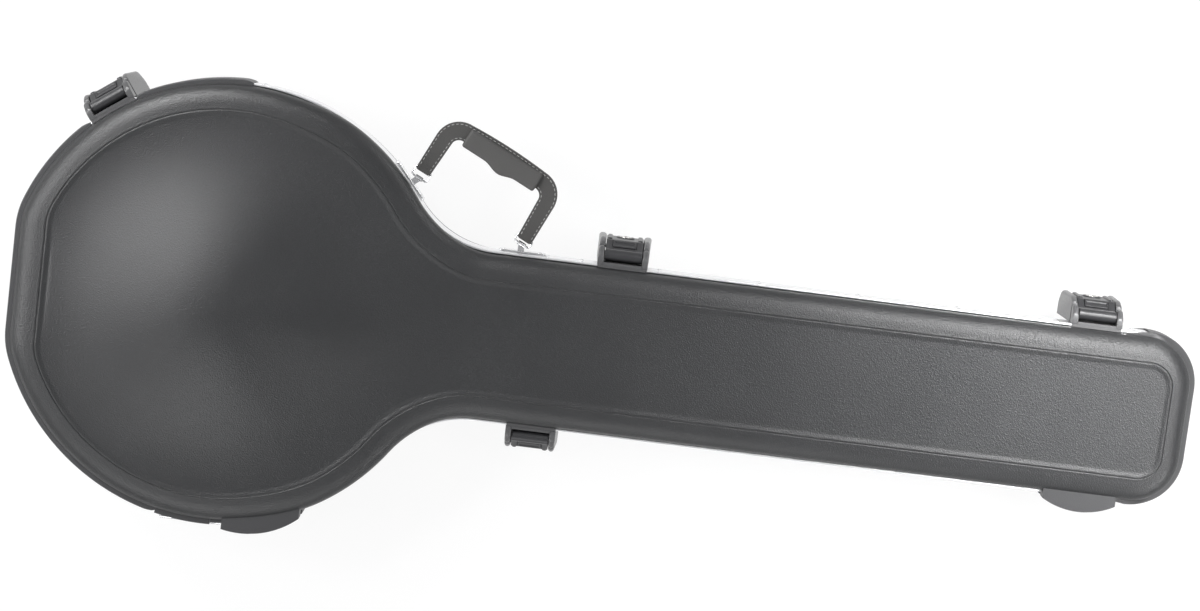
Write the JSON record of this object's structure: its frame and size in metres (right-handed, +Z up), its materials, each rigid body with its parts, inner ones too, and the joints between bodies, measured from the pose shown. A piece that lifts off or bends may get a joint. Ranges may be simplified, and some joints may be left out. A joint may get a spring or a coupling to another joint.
{
  "type": "instrument case",
  "caption": "Moulded hard case for a long-necked instrument with a round bout, deep base, domed lid, lever latches, aluminium edging, side hinge, carrying handle and fitted foam inside.",
  "frame": {"origin": "middle of the bounding box on the flat band of the back that the case lies on", "axes": "+X towards the headstock end, +Y towards the handle side, +Z up to the lid"},
  "size_m": [1.1096, 0.4234, 0.1576],
  "materials": {
    "moulded_shell": "pebbled charcoal ABS",
    "edging": "brushed, clear anodised",
    "foam": "black plush over foam",
    "strap": "matt, stitched along both edges",
    "grip": "matt",
    "latch_bracket": "satin grey",
    "latch_lever": "satin charcoal",
    "latch_trigger": "satin grey",
    "lock_metal": "nickel plated",
    "hinge_metal": "plated"
  },
  "bodies": {
    "base": {"base_shell": "moulded_shell", "base_valance": "edging", "pot_liner_pad": "foam", "pot_liner_wall": "foam", "neck_liner_block": "foam", "neck_liner_handle_side": "foam", "neck_liner_hinge_side": "foam", "head_liner_handle_side": "foam", "head_liner_hinge_side": "foam", "neck_cradle": "foam", "hinge_base_leaf": "hinge_metal", "hinge_pin": "hinge_metal", "base_bout_foot": "moulded_shell", "base_neck_foot": "moulded_shell", "handle_left_bracket": "hinge_metal", "handle_right_bracket": "hinge_metal", "bout_latch_housing": "latch_bracket", "bout_latch_pin": "hinge_metal", "neck_latch_housing": "latch_bracket", "neck_latch_pin": "hinge_metal", "head_latch_housing": "latch_bracket", "head_latch_pin": "hinge_metal", "waist_latch_housing": "latch_bracket", "waist_latch_pin": "hinge_metal"},
    "lid": {"lid_shell": "moulded_shell", "lid_valance": "edging", "lid_liner": "foam", "hinge_lid_leaf": "hinge_metal", "lid_bout_foot": "moulded_shell", "lid_neck_foot": "moulded_shell", "bout_latch_keeper": "latch_bracket", "neck_latch_keeper": "latch_bracket", "head_latch_keeper": "latch_bracket", "waist_latch_keeper": "latch_bracket"},
    "handle": {"handle_strap": "strap", "handle_grip": "grip", "handle_left_ring": "hinge_metal", "handle_right_ring": "hinge_metal"},
    "compartment_flap": {"compartment_lid": "foam", "compartment_pull": "strap"},
    "bout_latch_lever": {"bout_latch_lever": "latch_lever"},
    "bout_latch_trigger": {"bout_latch_trigger": "latch_trigger"},
    "bout_latch_lock": {"bout_latch_lock": "lock_metal"},
    "neck_latch_lever": {"neck_latch_lever": "latch_lever"},
    "neck_latch_trigger": {"neck_latch_trigger": "latch_trigger"},
    "neck_latch_lock": {"neck_latch_lock": "lock_metal"},
    "head_latch_lever": {"head_latch_lever": "latch_lever"},
    "head_latch_trigger": {"head_latch_trigger": "latch_trigger"},
    "head_latch_lock": {"head_latch_lock": "lock_metal"},
    "waist_latch_lever": {"waist_latch_lever": "latch_lever"},
    "waist_latch_trigger": {"waist_latch_trigger": "latch_trigger"},
    "waist_latch_lock": {"waist_latch_lock": "lock_metal"}
  },
  "joints": [
    {"name": "lid_swing", "type": "hinge", "parent": "base", "child": "lid", "pos_m": [-0.3657, -0.20825, 0.1], "axis": [1, 0, 0], "range_deg": [0, 105]},
    {"name": "bout_latch_lever_swing", "type": "hinge", "parent": "base", "child": "bout_latch_lever", "pos_m": [-0.48271, 0.17925, 0.044], "axis": [-0.809, -0.5878, 0], "range_deg": [0, 95]},
    {"name": "bout_latch_trigger_press", "type": "slide", "parent": "bout_latch_lever", "child": "bout_latch_trigger", "axis": [0.454, -0.6249, -0.6351], "range_m": [0, 0.0015], "stiffness_N_per_m": 400},
    {"name": "bout_latch_lock_turn", "type": "hinge", "parent": "bout_latch_lever", "child": "bout_latch_lock", "pos_m": [-0.48976, 0.18896, 0.064], "axis": [-0.5878, 0.809, 0], "range_deg": [0, 90]},
    {"name": "neck_latch_lever_swing", "type": "hinge", "parent": "base", "child": "neck_latch_lever", "pos_m": [0.01082, 0.09415, 0.044], "axis": [-1, 0, 0], "range_deg": [0, 95]},
    {"name": "neck_latch_trigger_press", "type": "slide", "parent": "neck_latch_lever", "child": "neck_latch_trigger", "axis": [0, -0.7724, -0.6351], "range_m": [0, 0.0015], "stiffness_N_per_m": 400},
    {"name": "neck_latch_lock_turn", "type": "hinge", "parent": "neck_latch_lever", "child": "neck_latch_lock", "pos_m": [0.01082, 0.10615, 0.064], "axis": [0, 1, 0], "range_deg": [0, 90]},
    {"name": "head_latch_lever_swing", "type": "hinge", "parent": "base", "child": "head_latch_lever", "pos_m": [0.45525, 0.09415, 0.044], "axis": [-1, 0, 0], "range_deg": [0, 95]},
    {"name": "head_latch_trigger_press", "type": "slide", "parent": "head_latch_lever", "child": "head_latch_trigger", "axis": [0, -0.7724, -0.6351], "range_m": [0, 0.0015], "stiffness_N_per_m": 400},
    {"name": "head_latch_lock_turn", "type": "hinge", "parent": "head_latch_lever", "child": "head_latch_lock", "pos_m": [0.45525, 0.10615, 0.064], "axis": [0, 1, 0], "range_deg": [0, 90]},
    {"name": "waist_latch_lever_swing", "type": "hinge", "parent": "base", "child": "waist_latch_lever", "pos_m": [-0.05518, -0.09065, 0.044], "axis": [1, 0, 0], "range_deg": [0, 95]},
    {"name": "waist_latch_trigger_press", "type": "slide", "parent": "waist_latch_lever", "child": "waist_latch_trigger", "axis": [0, 0.7724, -0.6351], "range_m": [0, 0.0015], "stiffness_N_per_m": 400},
    {"name": "waist_latch_lock_turn", "type": "hinge", "parent": "waist_latch_lever", "child": "waist_latch_lock", "pos_m": [-0.05518, -0.10265, 0.064], "axis": [0, -1, 0], "range_deg": [0, 90]},
    {"name": "handle_swing", "type": "hinge", "parent": "base", "child": "handle", "pos_m": [-0.19052, 0.14076, 0.092], "axis": [0.9005, -0.4349, 0], "range_deg": [-90, 90]},
    {"name": "compartment_flap_swing", "type": "hinge", "parent": "base", "child": "compartment_flap", "pos_m": [-0.02175, -0.03125, 0.0448], "axis": [1, 0, 0], "range_deg": [0, 90]}
  ]
}
